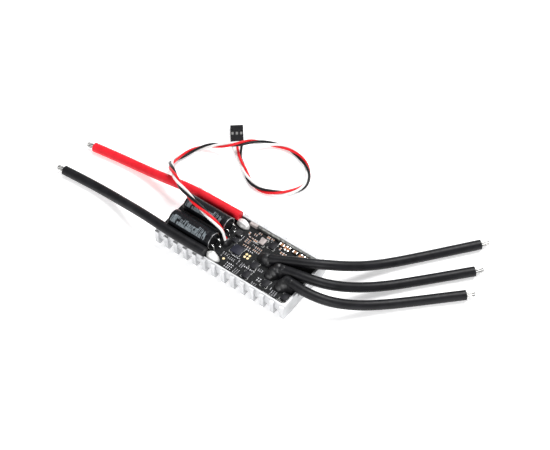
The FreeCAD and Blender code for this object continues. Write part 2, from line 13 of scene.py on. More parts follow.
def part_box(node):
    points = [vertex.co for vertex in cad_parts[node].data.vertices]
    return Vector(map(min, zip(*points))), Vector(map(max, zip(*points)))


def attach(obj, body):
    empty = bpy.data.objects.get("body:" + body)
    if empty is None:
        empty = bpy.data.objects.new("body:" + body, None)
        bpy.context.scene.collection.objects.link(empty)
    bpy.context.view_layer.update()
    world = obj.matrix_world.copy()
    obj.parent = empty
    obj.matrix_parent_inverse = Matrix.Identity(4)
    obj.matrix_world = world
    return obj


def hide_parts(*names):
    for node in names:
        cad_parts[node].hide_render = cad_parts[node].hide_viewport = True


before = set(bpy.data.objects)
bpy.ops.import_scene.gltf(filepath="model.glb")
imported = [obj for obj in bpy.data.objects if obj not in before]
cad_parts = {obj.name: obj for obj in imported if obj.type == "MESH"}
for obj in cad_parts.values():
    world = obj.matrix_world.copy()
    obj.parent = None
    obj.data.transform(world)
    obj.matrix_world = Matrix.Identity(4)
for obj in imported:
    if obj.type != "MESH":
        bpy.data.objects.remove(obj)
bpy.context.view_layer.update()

MM = 0.001
UP = Vector((0, 0, 1))
BODY = "root"
PHASES = ("a", "b", "c")
POLES = ("negative", "positive")

BOARD_TOP = Vector(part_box("circuit_board")[1]).z

# ---- camera ----
CAMERA_TARGET = Vector((0.00201, 0.02881, 0.0))
CAMERA_DISTANCE = 0.67289
CAMERA_AZIMUTH = math.radians(36.73)
CAMERA_ELEVATION = math.radians(51.63)
CAMERA_ROLL = math.radians(-0.17)
CAMERA_LENS = 80.33
CAMERA_SENSOR = 36.0

# ---- cords: diameters, and the corner points of their routes ----
WIRE_DIAMETER = 0.0055
STRAND_DIAMETER = 0.0015
STRAND_SIDES = 12
TIP_LENGTH = 0.005
TIP_RADIUS = 0.00165
TIP_STRANDS = 9
TIP_SIDES = 72
TIP_STEPS = 24
TIP_TWIST = 2.2
TIP_ROOT = 0.0003
# groove depth past which a tip face gets the painted shade between strands
GROOVE_SHADE_DEPTH = 0.6
BATTERY_ROUTES = {
    "negative": (
        (-0.0103, -0.0162, 0.0136), (-0.0240, -0.0168, 0.0137), (-0.0410, -0.0164, 0.0138),
        (-0.0550, -0.0149, 0.0119), (-0.0710, -0.0123, 0.0070), (-0.0860, -0.0105, 0.0035),
        (-0.1010, -0.0108, 0.0028), (-0.1158, -0.0120, 0.0029),
    ),
    "positive": (
        (-0.0105, 0.0145, 0.0128), (-0.0260, 0.0141, 0.0129), (-0.0420, 0.0137, 0.0129),
        (-0.0560, 0.0135, 0.0104), (-0.0700, 0.0143, 0.0062), (-0.0840, 0.0147, 0.0032),
        (-0.0990, 0.0133, 0.0028), (-0.1139, 0.0112, 0.0029),
    ),
}
MOTOR_ROUTES = {
    "a": (
        (0.0195, 0.0008, 0.0127), (0.0285, 0.0052, 0.0135), (0.0375, 0.0094, 0.0142),
        (0.0460, 0.0149, 0.0137), (0.0534, 0.0220, 0.0107), (0.0602, 0.0308, 0.0068),
        (0.0674, 0.0408, 0.0040), (0.0764, 0.0526, 0.0029), (0.0880, 0.0670, 0.0028),
        (0.1003, 0.0820, 0.0030),
    ),
    "b": (
        (0.0268, -0.0014, 0.0129), (0.0360, 0.0000, 0.0141), (0.0450, 0.0018, 0.0143),
        (0.0534, 0.0056, 0.0126), (0.0608, 0.0119, 0.0094), (0.0682, 0.0204, 0.0058),
        (0.0766, 0.0302, 0.0036), (0.0864, 0.0418, 0.0028), (0.0966, 0.0532, 0.0028),
        (0.1070, 0.0647, 0.0030),
    ),
    "c": (
        (0.0352, -0.0052, 0.0133), (0.0434, -0.0060, 0.0137), (0.0518, -0.0050, 0.0131),
        (0.0598, -0.0018, 0.0112), (0.0670, 0.0038, 0.0082), (0.0740, 0.0110, 0.0052),
        (0.0820, 0.0196, 0.0033), (0.0912, 0.0290, 0.0028), (0.1012, 0.0390, 0.0028),
        (0.1112, 0.0488, 0.0030),
    ),
}
# Points 7 to 28 of the 30 come from a fit by a scratch script, not by hand: see report.md.
SIGNAL_ROUTE = (
    (-0.0068, -0.0019, 0.0116), (-0.0090, -0.0019, 0.0160), (-0.0136, -0.0016, 0.0198),
    (-0.0204, -0.0006, 0.0218), (-0.0288, 0.0009, 0.0226), (-0.0374, 0.0034, 0.0226),
    (-0.0462, 0.0069, 0.0216), (-0.0540, 0.0121, 0.0194), (-0.0612, 0.0176, 0.0154),
    (-0.0672, 0.0236, 0.0094), (-0.0701, 0.0309, 0.0038), (-0.0692, 0.0395, 0.0018),
    (-0.0657, 0.0474, 0.0018), (-0.0591, 0.0524, 0.0040), (-0.0504, 0.0544, 0.0078),
    (-0.0443, 0.0600, 0.0090), (-0.0402, 0.0672, 0.0064), (-0.0346, 0.0735, 0.0024),
    (-0.0269, 0.0775, 0.0018), (-0.0181, 0.0772, 0.0018), (-0.0093, 0.0736, 0.0018),
    (-0.0024, 0.0673, 0.0018), (-0.0001, 0.0587, 0.0018), (-0.0043, 0.0509, 0.0018),
    (-0.0123, 0.0448, 0.0018), (-0.0213, 0.0427, 0.0018), (-0.0301, 0.0458, 0.0018),
    (-0.0370, 0.0511, 0.0018), (-0.0452, 0.0566, 0.0018), (-0.0503, 0.0628, 0.0018),
)
MOTOR_PADS = {"a": (0.0135, 0.0012), "b": (0.0240, -0.0072), "c": (0.0326, -0.0102)}


# ---------------------------------------------------------------- materials

COAT_ROUGHNESS = 0.12
GRAIN_DETAIL = 3.0
FLOOR_GLOW = 0.40


def shader(name, colour, roughness, metallic=0.0, coat=0.0, specular=0.5):
    """A principled material with constant values; the makers below add variation to it."""
    material = bpy.data.materials.new(name)
    material.use_nodes = True
    inputs = material.node_tree.nodes["Principled BSDF"].inputs
    inputs["Base Color"].default_value = (*colour, 1)
    inputs["Roughness"].default_value = roughness
    inputs["Metallic"].default_value = metallic
    inputs["Coat Weight"].default_value = coat
    inputs["Coat Roughness"].default_value = COAT_ROUGHNESS
    inputs["Specular IOR Level"].default_value = specular
    material.diffuse_color = (*colour, 1)
    return material


def grain(material, size, stretch=(1, 1, 1)):
    """A noise of features about this size, as a socket from 0 to 1."""
    tree = material.node_tree
    place = tree.nodes.new("ShaderNodeTexCoord")
    mapping = tree.nodes.new("ShaderNodeMapping")
    mapping.inputs["Scale"].default_value = stretch
    texture = tree.nodes.new("ShaderNodeTexNoise")
    texture.inputs["Scale"].default_value = 1 / size
    texture.inputs["Detail"].default_value = GRAIN_DETAIL
    tree.links.new(place.outputs["Object"], mapping.inputs["Vector"])
    tree.links.new(mapping.outputs["Vector"], texture.inputs["Vector"])
    return texture.outputs["Fac"]


def cells(material, size):
    """Straight-edged cells of about this size, as the distance to their edges."""
    tree = material.node_tree
    place = tree.nodes.new("ShaderNodeTexCoord")
    texture = tree.nodes.new("ShaderNodeTexVoronoi")
    texture.feature = "DISTANCE_TO_EDGE"
    texture.inputs["Scale"].default_value = 1 / size
    tree.links.new(place.outputs["Object"], texture.inputs["Vector"])
    return texture.outputs["Distance"]


def vary_colour(material, source, first, second, low=0.35, high=0.65):
    """The base colour goes from the first to the second as the source goes from low to high."""
    tree = material.node_tree
    ramp = tree.nodes.new("ShaderNodeValToRGB")
    ramp.color_ramp.elements[0].position = low
    ramp.color_ramp.elements[0].color = (*first, 1)
    ramp.color_ramp.elements[1].position = high
    ramp.color_ramp.elements[1].color = (*second, 1)
    tree.links.new(source, ramp.inputs["Fac"])
    tree.links.new(ramp.outputs["Color"], tree.nodes["Principled BSDF"].inputs["Base Color"])


def vary_roughness(material, source, low, high):
    tree = material.node_tree
    spread = tree.nodes.new("ShaderNodeMapRange")
    spread.inputs["From Min"].default_value = 0.3
    spread.inputs["From Max"].default_value = 0.7
    spread.inputs["To Min"].default_value = low
    spread.inputs["To Max"].default_value = high
    tree.links.new(source, spread.inputs["Value"])
    tree.links.new(spread.outputs["Result"], tree.nodes["Principled BSDF"].inputs["Roughness"])


def add_bump(material, source, strength, depth):
    tree = material.node_tree
    bump = tree.nodes.new("ShaderNodeBump")
    bump.inputs["Strength"].default_value = strength
    bump.inputs["Distance"].default_value = depth
    tree.links.new(source, bump.inputs["Height"])
    tree.links.new(bump.outputs["Normal"], tree.nodes["Principled BSDF"].inputs["Normal"])


def heatsink_aluminium():
    material = shader("heatsink_aluminium", (0.55, 0.555, 0.56), 0.42, metallic=0.4)
    fine = grain(material, 0.25 * MM)
    vary_roughness(material, grain(material, 3 * MM, stretch=(1, 0.15, 1)), 0.36, 0.50)
    vary_colour(material, grain(material, 6 * MM), (0.51, 0.515, 0.525), (0.59, 0.595, 0.605))
    add_bump(material, fine, 0.25, 0.02 * MM)
    return material


def solder_mask():
    material = shader("solder_mask", (0.006, 0.007, 0.008), 0.4, specular=0.12)
    traces = cells(material, 1.3 * MM)
    vary_colour(material, traces, (0.018, 0.019, 0.020), (0.004, 0.0045, 0.005), 0.04, 0.08)
    vary_roughness(material, grain(material, 1.2 * MM), 0.34, 0.50)
    add_bump(material, traces, 0.3, 0.03 * MM)
    return material


def solder(name="solder", roughness=0.2, metallic=1.0):
    material = shader(name, (0.90, 0.90, 0.88), roughness, metallic=metallic)
    cloud = grain(material, 0.9 * MM)
    vary_colour(material, cloud, (0.80, 0.80, 0.78), (0.96, 0.96, 0.95))
    vary_roughness(material, grain(material, 0.5 * MM), roughness * 0.7, roughness * 1.6)
    add_bump(material, cloud, 0.35, 0.08 * MM)
    return material


def silicone(name, dark, light, roughness=0.36):
    """Soft wire insulation: a satin skin with a faint grain and a dusty variation."""
    material = shader(name, light, roughness, specular=0.2)
    vary_colour(material, grain(material, 5 * MM), dark, light)
    vary_roughness(material, grain(material, 1.5 * MM), roughness - 0.06, roughness + 0.10)
    add_bump(material, grain(material, 0.35 * MM), 0.15, 0.03 * MM)
    return material


def moulded(name, dark, light, roughness, size=0.3, coat=0.0, specular=0.15):
    """Moulded plastic, rubber or ceramic, with a fine grain."""
    material = shader(name, light, roughness, coat=coat, specular=specular)
    vary_colour(material, grain(material, 4 * size * MM), dark, light)
    vary_roughness(material, grain(material, 2 * size * MM), roughness - 0.05, roughness + 0.08)
    add_bump(material, grain(material, size * MM), 0.2, 0.02 * MM)
    return material


def plated(name, dark, light, roughness, metallic=1.0):
    """Dull or bright plating with cloudy patches."""
    material = shader(name, light, roughness, metallic=metallic)
    vary_colour(material, grain(material, 1.6 * MM), dark, light)
    vary_roughness(material, grain(material, 0.8 * MM), roughness - 0.06, roughness + 0.12)
    add_bump(material, grain(material, 0.4 * MM), 0.2, 0.03 * MM)
    return material


def studio_floor():
    material = shader("studio_floor", (0.92, 0.92, 0.925), 0.75, specular=0.2)
    inputs = material.node_tree.nodes["Principled BSDF"].inputs
    inputs["Emission Color"].default_value = (1, 1, 1, 1)
    inputs["Emission Strength"].default_value = FLOOR_GLOW
    vary_roughness(material, grain(material, 0.4), 0.72, 0.80)
    return material


HEATSINK = heatsink_aluminium()
MASK = solder_mask()
SOLDER = solder(roughness=0.30, metallic=0.35)
BRIGHT_SOLDER = solder("bright_solder", 0.13)
DULL_SOLDER = plated("dull_solder", (0.36, 0.36, 0.38), (0.62, 0.62, 0.64), 0.38)
TIP_SOLDER = plated("tip_solder", (0.50, 0.50, 0.50), (0.82, 0.82, 0.80), 0.34)
# near-black metal painted into the tips' grooves between strands: painted shade, not a colour the
# solder has
PAINTED_GROOVE_SHADE = plated("painted_groove_shade", (0.05, 0.05, 0.05), (0.16, 0.15, 0.14), 0.5)
GOLD = plated("gold_plating", (0.90, 0.66, 0.32), (1.0, 0.84, 0.52), 0.30, metallic=0.8)
BAR = plated("bar_plating", (0.05, 0.05, 0.05), (0.22, 0.225, 0.215), 0.42, metallic=0.8)
MODULE_LID = plated("module_lid", (0.30, 0.26, 0.25), (0.42, 0.37, 0.36), 0.45, metallic=0.2)
BLACK_WIRE = silicone("black_silicone", (0.005, 0.005, 0.006), (0.009, 0.009, 0.011), 0.40)
RED_WIRE = silicone("red_silicone", (0.62, 0.012, 0.022), (0.70, 0.016, 0.028), 0.34)
SIGNAL_WHITE = silicone("signal_white", (0.70, 0.70, 0.695), (0.78, 0.78, 0.77), 0.34)
SIGNAL_RED = silicone("signal_red", (0.62, 0.010, 0.016), (0.70, 0.015, 0.022), 0.32)
SIGNAL_BLACK = silicone("signal_black", (0.006, 0.006, 0.007), (0.010, 0.010, 0.011), 0.32)
CHIP_BLACK = moulded("chip_black", (0.008, 0.008, 0.010), (0.014, 0.014, 0.018), 0.45)
CHIP_NAVY = moulded("chip_navy", (0.012, 0.013, 0.022), (0.020, 0.021, 0.034), 0.40)
CHIP_MARK = moulded("chip_mark", (0.08, 0.08, 0.085), (0.12, 0.12, 0.125), 0.5)
CERAMIC_TAN = moulded("ceramic_tan", (0.34, 0.16, 0.08), (0.50, 0.26, 0.15), 0.38)
RESISTOR_BLACK = moulded("resistor_black", (0.008, 0.008, 0.010), (0.02, 0.02, 0.024), 0.28)
INDUCTOR = moulded("inductor_body", (0.020, 0.020, 0.022), (0.045, 0.045, 0.047), 0.55)
SLEEVE_BLACK = moulded("sleeve_black", (0.005, 0.0055, 0.007), (0.009, 0.010, 0.012), 0.28,
                       coat=0.1)
SLEEVE_PRINT = moulded("sleeve_print", (0.10, 0.12, 0.13), (0.20, 0.225, 0.245), 0.32,
                       coat=0.1)
CAN_METAL = plated("can_metal", (0.70, 0.70, 0.71), (0.84, 0.84, 0.85), 0.32)
BUNG = moulded("bung_rubber", (0.007, 0.007, 0.008), (0.015, 0.015, 0.016), 0.6)
ADHESIVE = moulded("adhesive", (0.004, 0.004, 0.005), (0.009, 0.009, 0.010), 0.30, size=0.8)
SEALANT = moulded("sealant", (0.005, 0.005, 0.0055), (0.010, 0.010, 0.012), 0.36, size=1.2,
                  specular=0.5)
PLUG_BLACK = moulded("plug_black", (0.007, 0.007, 0.008), (0.013, 0.013, 0.015), 0.36)
PAD_GREY = moulded("pad_grey", (0.30, 0.33, 0.36), (0.38, 0.41, 0.44), 0.7)
SILK_WHITE = moulded("silk_white", (0.62, 0.62, 0.60), (0.75, 0.75, 0.73), 0.5)


# ---------------------------------------------------------------- mesh helpers

def piece_from(name, fill, materials, replaces=(), sharp=35):
    """A new piece whose mesh is made by fill(mesh); it rides on the object's only body."""
    mesh = bmesh.new()
    fill(mesh)
    bmesh.ops.recalc_face_normals(mesh, faces=mesh.faces)
    data = bpy.data.meshes.new(name)
    mesh.to_mesh(data)
    mesh.free()
    for face in data.polygons:
        face.use_smooth = True
    data.set_sharp_from_angle(angle=math.radians(sharp))
    for material in materials:
        data.materials.append(material)
    piece = bpy.data.objects.new(name, data)
    bpy.context.collection.objects.link(piece)
    claim(piece, replaces)
    return piece


def claim(piece, replaces=()):
    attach(piece, BODY)
    if replaces:
        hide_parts(*replaces)


def add_block(mesh, low, high, edge=0.0):
    """A box between two corners, with rounded edges."""
    size = high - low
    place = Matrix.Translation((low + high) / 2) @ Matrix.Diagonal((*size, 1))
    made = bmesh.ops.create_cube(mesh, size=1.0, matrix=place)
    if edge:
        edges = list({line for vert in made["verts"] for line in vert.link_edges})
        bmesh.ops.bevel(mesh, geom=edges, offset=edge, segments=2, profile=0.5, affect="EDGES")


def turned_rings(mesh, profile, place, segments):
    """A ring of vertices for each (height, radius) pair, along the place matrix's own Z."""
    rings = []
    for height, radius in profile:
        ring = []
        for index in range(segments):
            angle = 2 * math.pi * index / segments
            point = Vector((radius * math.cos(angle), radius * math.sin(angle), height))
            ring.append(mesh.verts.new(place @ point))
        rings.append(ring)
    return rings


def add_lathe(mesh, profile, place, segments):
    """A turned solid, capped at both ends of its profile."""
    join_rings(mesh, turned_rings(mesh, profile, place, segments))


def add_lathe_loop(mesh, profile, place, segments):
    """A turned ring whose section is a closed loop."""
    rings = turned_rings(mesh, profile, place, segments)
    join_rings(mesh, rings + [rings[0]], closed_ends=False)


def join_rings(mesh, rings, closed_ends=True):
    """Faces between neighbouring rings, and caps on the first and the last."""
    faces = []
    for first, second in zip(rings, rings[1:]):
        count = len(first)
        for index in range(count):
            after = (index + 1) % count
            faces.append(mesh.faces.new((first[index], first[after], second[after], second[index])))
    if closed_ends:
        mesh.faces.new(rings[0])
        mesh.faces.new(rings[-1])
    return faces


def directions(line):
    """The unit direction at each point of a line."""
    last = len(line) - 1
    return [(line[min(i + 1, last)] - line[max(i - 1, 0)]).normalized() for i in range(last + 1)]


def add_tube(mesh, line, radius, sides, lobe=None):
    """A tube along a line, with frames that don't twist; lobe(index, angle) scales the radius."""
    aims = directions(line)
    side = aims[0].orthogonal().normalized()
    rings = []
    for index, (point, aim) in enumerate(zip(line, aims)):
        side = (side - aim * side.dot(aim)).normalized()
        across = aim.cross(side)
        ring = []
        for step in range(sides):
            angle = 2 * math.pi * step / sides
            reach = radius * (lobe(index, angle) if lobe else 1)
            offset = side * math.cos(angle) + across * math.sin(angle)
            ring.append(mesh.verts.new(point + offset * reach))
        rings.append(ring)
    return join_rings(mesh, rings)


def route_curve(name, points, bevel=0.0):
    """A curve object on the route's smooth NURBS line."""
    data = bpy.data.curves.new(name, "CURVE")
    data.dimensions = "3D"
    data.resolution_u = 12
    data.bevel_depth = bevel
    data.bevel_resolution = 8
    data.use_fill_caps = bevel > 0
    spline = data.splines.new("NURBS")
    spline.points.add(len(points) - 1)
    for control, point in zip(spline.points, points):
        control.co = (*point, 1)
    spline.order_u = 3
    spline.use_endpoint_u = True
    curve = bpy.data.objects.new(name, data)
    bpy.context.collection.objects.link(curve)
    return curve


def route_line(points):
    """The points of the route's smooth line, read from its curve."""
    curve = route_curve("route_line", points)
    mesh = bpy.data.meshes.new_from_object(curve)
    line = [vertex.co.copy() for vertex in mesh.vertices]
    bpy.data.meshes.remove(mesh)
    bpy.data.objects.remove(curve)
    return line


def solid_boxes(node):
    """The (lowest, highest) corners of each separate solid in a CAD node."""
    mesh = bmesh.new()
    mesh.from_mesh(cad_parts[node].data)
    bmesh.ops.remove_doubles(mesh, verts=mesh.verts, dist=1e-6)
    unseen = set(mesh.verts)
    boxes = []
    while unseen:
        found = [unseen.pop()]
        for vert in found:
            for edge in vert.link_edges:
                other = edge.other_vert(vert)
                if other in unseen:
                    unseen.remove(other)
                    found.append(other)
        low = Vector([min(vert.co[axis] for vert in found) for axis in range(3)])
        high = Vector([max(vert.co[axis] for vert in found) for axis in range(3)])
        boxes.append((low, high))
    mesh.free()
    return sorted(boxes, key=lambda box: tuple(box[0]))


# ---------------------------------------------------------------- carried-over CAD nodes

CAD_MATERIALS = {
    "heatsink": HEATSINK,
    "circuit_board": MASK,
    "thermal_pad": PAD_GREY,
    "bus_bar": BAR,
    "bus_bar_tab": MODULE_LID,
    "capacitor_adhesive": ADHESIVE,
    "test_pads": GOLD,
    "motor_solder_joints": SOLDER,
    "signal_plug_housing": PLUG_BLACK,
    "signal_plug_terminals": BRIGHT_SOLDER,
    "capacitor_1_can": CAN_METAL,
    "capacitor_2_can": CAN_METAL,
    "capacitor_1_bung": BUNG,
    "capacitor_2_bung": BUNG,
    "capacitor_1_leads": BRIGHT_SOLDER,
    "capacitor_2_leads": BRIGHT_SOLDER,
    "phase_a_transistors": CHIP_BLACK,
    "phase_b_transistors": CHIP_BLACK,
    "phase_c_transistors": CHIP_BLACK,
}


def paint_cad_nodes():
    for node, material in CAD_MATERIALS.items():
        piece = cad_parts[node]
        for slot in piece.material_slots:
            slot.material = material


# ---------------------------------------------------------------- power wires

def straight_line(start, aim, length, steps):
    return [start + aim * (length * step / steps) for step in range(steps + 1)]


def groove_depth(along, angle):
    """How far into the groove between two strands this spot is, from 0 to 1."""
    return abs(math.sin(TIP_STRANDS / 2 * angle + TIP_TWIST * along)) ** 3


def tip_lobe(steps):
    """Twisted strands: grooves that turn along the tip, a slight flare, and a rounded nose."""
    def scale(index, angle):
        along = index / steps
        nose = math.sqrt(max(0.0, 1 - max(0.0, (along - 0.8) / 0.2) ** 2))
        return (1 - 0.2 * groove_depth(along, angle)) * (0.90 + 0.10 * along) * max(nose, 0.08)
    return scale


def wire_tip(name, route):
    """The tinned end of a power wire, with its strands showing and painted shade in the grooves
    between them.
    """
    end = Vector(route[-1])
    aim = (end - Vector(route[-2])).normalized()
    line = straight_line(end - aim * TIP_ROOT, aim, TIP_LENGTH + TIP_ROOT, TIP_STEPS)

    def fill(mesh):
        faces = add_tube(mesh, line, TIP_RADIUS, TIP_SIDES, lobe=tip_lobe(TIP_STEPS))
        for number, face in enumerate(faces):
            row, column = divmod(number, TIP_SIDES)
            angle = 2 * math.pi * (column + 0.5) / TIP_SIDES
            # faces deep in a groove take the dark metal: painted shade between the strands
            if groove_depth(row / TIP_STEPS, angle) > GROOVE_SHADE_DEPTH:
                face.material_index = 1

    return piece_from(f"{name}_tip_strands", fill, [TIP_SOLDER, PAINTED_GROOVE_SHADE],
                      replaces=[f"{name}_tip"], sharp=60)


def power_wire(name, route, material):
    wire = route_curve(f"{name}_insulation", route, WIRE_DIAMETER / 2)
    wire.data.materials.append(material)
    claim(wire, [f"{name}_wire"])
    tip = wire_tip(name, route)


def power_wires():
    power_wire("battery_negative", BATTERY_ROUTES["negative"],
               BLACK_WIRE)
    power_wire("battery_positive", BATTERY_ROUTES["positive"],
               RED_WIRE)
    for phase in PHASES:
        power_wire(f"motor_{phase}", MOTOR_ROUTES[phase],
                   BLACK_WIRE)


# ---------------------------------------------------------------- signal lead

STRAND_COLOURS = (SIGNAL_WHITE, SIGNAL_RED, SIGNAL_BLACK)
STRAND_LANES = (-1, 0, 1)
STRAND_TURNS = -6.5
TWIST_STOPS = 0.016
STRAND_END_ANGLE = math.radians(90)
PAD_LANE = 1.1 * MM
PLUG_LANE = 2.54 * MM
PAD_FAN = 0.009
PLUG_FAN = 0.012
PLUG_DROP = 0.45 * MM
PLUG_ENTRY = 0.0015


def ease(value):
    value = min(max(value, 0.0), 1.0)
    return value * value * (3 - 2 * value)


def strand_line(line, strand):
    """One strand: flat side by side at the pads and at the plug, twisted in between."""
    aims = directions(line)
    distances = [0.0]
    for before, after in zip(line, line[1:]):
        distances.append(distances[-1] + (after - before).length)
    total = distances[-1]
    reach = STRAND_DIAMETER / math.sqrt(3)
    points = []
    for point, aim, distance in zip(line, aims, distances):
        right = aim.cross(UP).normalized()
        above = right.cross(aim)
        turn = 2 * math.pi * STRAND_TURNS * max(0.0, 1 - distance / (total - TWIST_STOPS))
        angle = STRAND_END_ANGLE - STRAND_LANES[strand] * 2 * math.pi / 3 + turn
        twisted = right * (reach * math.cos(angle)) + above * (reach * math.sin(angle))
        at_pads = 1 - ease(distance / PAD_FAN)
        at_plug = 1 - ease((total - distance) / PLUG_FAN)
        flat = right * (STRAND_LANES[strand] * (PAD_LANE if at_pads > 0 else PLUG_LANE))
        flat -= UP * (PLUG_DROP * at_plug)
        points.append(point + twisted.lerp(flat, max(at_pads, at_plug)))
    return points


def signal_lead():
    line = route_line(SIGNAL_ROUTE)
    joints = solid_boxes("signal_joints")
    joints.sort(key=lambda box: box[0].y)
    into_plug = (line[-1] - line[-2]).normalized() * PLUG_ENTRY

    def fill(mesh):
        for strand, (low, high) in enumerate(joints):
            points = strand_line(line, strand)
            foot = Vector(((low.x + high.x) / 2, (low.y + high.y) / 2, BOARD_TOP + 0.5 * MM))
            knee = foot.lerp(points[0], 0.55) + Vector((0.25 * MM, 0, 0))
            points = [foot, knee] + points + [points[-1] + into_plug]
            for face in add_tube(mesh, points, STRAND_DIAMETER / 2, STRAND_SIDES):
                face.material_index = strand

    strands = piece_from("signal_lead_strands", fill, STRAND_COLOURS,
                         replaces=["signal_lead"])


# ---------------------------------------------------------------- board parts

TERMINAL_SHARE = 0.24
SKIN = 0.03 * MM
FILLET_REACH = 0.22 * MM


def two_ended(node, material, end_material=DULL_SOLDER):
    """Detailed bodies, metal ends and solder fillets for a group of two-terminal parts."""
    boxes = solid_boxes(node)

    def bodies(mesh):
        for low, high in boxes:
            inset = Vector((SKIN, SKIN, SKIN))
            add_block(mesh, low + inset, high - inset, 0.04 * MM)

    def ends(mesh):
        for low, high in boxes:
            add_ends(mesh, low, high)

    piece_from(f"{node}_bodies", bodies, [material], replaces=[node])
    piece_from(f"{node}_ends", ends, [end_material])


def add_ends(mesh, low, high):
    """The wrapped metal ends of a part, each with a sloping fillet of solder at its foot."""
    size = high - low
    axis = 0 if size.x > size.y else 1
    length = size[axis] * TERMINAL_SHARE
    for at_high in (False, True):
        end_low = low.copy()
        end_high = high.copy()
        if at_high:
            end_low[axis] = high[axis] - length
        else:
            end_high[axis] = low[axis] + length
        add_block(mesh, end_low, end_high, 0.05 * MM)
        add_fillet(mesh, end_low, end_high, axis, at_high)


def add_fillet(mesh, low, high, axis, at_high):
    """A wedge of solder from the board up the outer face of a metal end."""
    across = 1 - axis
    outer = high[axis] if at_high else low[axis]
    reach = FILLET_REACH if at_high else -FILLET_REACH
    top = low.z + (high.z - low.z) * 0.6
    outline = [(outer, low.z), (outer + reach, low.z),
               (outer + reach * 0.35, low.z * 0.6 + top * 0.4), (outer, top)]
    rings = []
    for side in (low[across], high[across]):
        ring = []
        for along, height in outline:
            point = Vector((0, 0, height))
            point[axis] = along
            point[across] = side
            ring.append(mesh.verts.new(point))
        rings.append(ring)
    join_rings(mesh, rings)


LEAD_PITCH = 0.5 * MM
LEAD_WIDTH = 0.26 * MM
LEAD_REACH = 0.18 * MM
REGULATOR_PITCH = 0.95 * MM
MODULE_PITCH = 0.8 * MM
MARK_RADIUS = 0.22 * MM
MARK_INSET = 0.7 * MM


def flat_package(node, material=CHIP_BLACK, pitch=LEAD_PITCH):
    """Leadless chips: a moulded body, pads round its foot, and a pin mark."""
    boxes = solid_boxes(node)

    def bodies(mesh):
        for low, high in boxes:
            add_block(mesh, low, high, 0.06 * MM)

    def leads(mesh):
        for low, high in boxes:
            add_pads(mesh, low, high, pitch)

    def marks(mesh):
        for low, high in boxes:
            corner = Vector((low.x + MARK_INSET, high.y - MARK_INSET, high.z))
            profile = [(-0.02 * MM, MARK_RADIUS), (0.012 * MM, MARK_RADIUS)]
            add_lathe(mesh, profile, Matrix.Translation(corner), 20)

    piece_from(f"{node}_body", bodies, [material], replaces=[node])
    piece_from(f"{node}_pads", leads, [DULL_SOLDER])
    piece_from(f"{node}_marks", marks, [CHIP_MARK])


def add_pads(mesh, low, high, pitch):
    """Small tinned pads that show along all four sides of a leadless chip."""
    for axis in (0, 1):
        across = 1 - axis
        room = high[axis] - low[axis] - 1.0 * MM
        count = int(room / pitch) + 1
        first = (low[axis] + high[axis]) / 2 - (count - 1) * pitch / 2
        for index in range(count):
            middle = first + index * pitch
            for edge in (low[across], high[across]):
                pad_low = Vector((0, 0, low.z))
                pad_high = Vector((0, 0, low.z + 0.2 * MM))
                pad_low[axis] = middle - LEAD_WIDTH / 2
                pad_high[axis] = middle + LEAD_WIDTH / 2
                pad_low[across] = edge - LEAD_REACH
                pad_high[across] = edge + LEAD_REACH
                add_block(mesh, pad_low, pad_high)


def lidded_module():
    """A ceramic carrier with a metal lid set back from its rim."""
    (low, high), = solid_boxes("shielded_module")
    step = Vector((0.25 * MM, 0.25 * MM, 0))
    split = low.z + (high.z - low.z) * 0.5

    def carrier(mesh):
        add_block(mesh, low, Vector((high.x, high.y, split)), 0.08 * MM)

    def lid(mesh):
        bottom = Vector((low.x, low.y, split)) + step
        add_block(mesh, bottom, high - step, 0.12 * MM)

    def pads(mesh):
        add_pads(mesh, low, high, MODULE_PITCH)

    piece_from("module_carrier", carrier, [INDUCTOR])
    piece_from("module_lid", lid, [MODULE_LID], replaces=["shielded_module"])
    piece_from("module_pads", pads, [BRIGHT_SOLDER])


INDUCTOR_CORNER = 0.7
PLATE_PAST = 0.12 * MM
PLATE_UNDER = 0.9 * MM
PLATE_HALF_WIDTH = 0.9 * MM
PLATE_HEIGHT = 0.35 * MM


def moulded_inductor():
    """A moulded power inductor: chamfered corners, a dished top and two wide end plates."""
    (low, high), = solid_boxes("power_inductor")
    centre = (low + high) / 2
    half = (high.x - low.x) / 2
    height = high.z - low.z
    corner = INDUCTOR_CORNER

    def octagon(mesh, level, share):
        points = [(1, corner), (corner, 1), (-corner, 1), (-1, corner),
                  (-1, -corner), (-corner, -1), (corner, -1), (1, -corner)]
        return [mesh.verts.new((centre.x + x * half * share, centre.y + y * half * share, level))
                for x, y in points]

    def body(mesh):
        levels = [(low.z, 0.94), (low.z + 0.1 * height, 1.0), (high.z - 0.08 * height, 1.0),
                  (high.z, 0.93), (high.z, 0.62), (high.z - 0.06 * height, 0.55)]
        join_rings(mesh, [octagon(mesh, level, share) for level, share in levels])

    def plates(mesh):
        for side in (-1, 1):
            outer = centre.x + side * (half + PLATE_PAST)
            inner = centre.x + side * (half - PLATE_UNDER)
            plate_low = Vector((min(outer, inner), centre.y - PLATE_HALF_WIDTH, low.z))
            plate_high = Vector((max(outer, inner), centre.y + PLATE_HALF_WIDTH,
                                 low.z + PLATE_HEIGHT))
            add_block(mesh, plate_low, plate_high, 0.05 * MM)

    piece_from("inductor_moulding", body, [INDUCTOR],
               replaces=["power_inductor"])
    piece_from("inductor_plates", plates, [BRIGHT_SOLDER])


SILK_THICK = 0.02 * MM
SILK_WIDTH = 0.16 * MM
SILK_GAP = 0.35 * MM
SILK_SHARE = 0.25
# rows of dashes by the edge, in millimetres: first X, Y, how many, pitch and length of a dash
EDGE_DASHES = ((27.2, -15.9, 5, 1.1, 0.6), (36.0, -15.6, 4, 1.2, 0.7))


